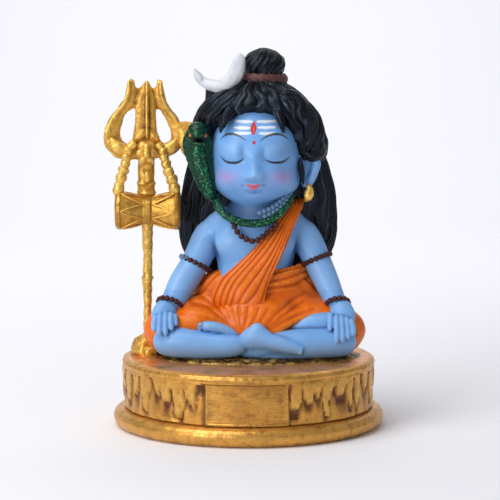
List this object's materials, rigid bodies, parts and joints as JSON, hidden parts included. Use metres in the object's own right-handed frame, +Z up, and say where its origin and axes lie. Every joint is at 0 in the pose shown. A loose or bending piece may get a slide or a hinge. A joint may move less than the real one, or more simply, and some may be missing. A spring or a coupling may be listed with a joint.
{
  "type": "deity figurine",
  "caption": "Small painted resin figurine: a cross-legged, blue-skinned child deity meditating on a round gold plinth beside a trident and drum.",
  "frame": {"origin": "centre of the base's underside", "axes": "+Z up, the figure faces -Y, the trident stands towards -X"},
  "size_m": [0.0696, 0.0676, 0.0932],
  "materials": {
    "painted_resin": "hand-painted resin, satin",
    "skin_paint": "light blue paint, satin, with pink blush and painted features",
    "hair_paint": "black paint, dry-brushed grey on the ridges",
    "cloth_paint": "orange paint, darker in the folds",
    "cobra_paint": "dark green metallic paint",
    "white_paint": "white paint",
    "bead_paint": "maroon-brown paint",
    "bright_gold_paint": "bright gold paint",
    "aged_gold_paint": "gold paint with a brown wash in the recesses"
  },
  "bodies": {
    "root": {"shiva_figure": "painted_resin"}
  },
  "joints": []
}
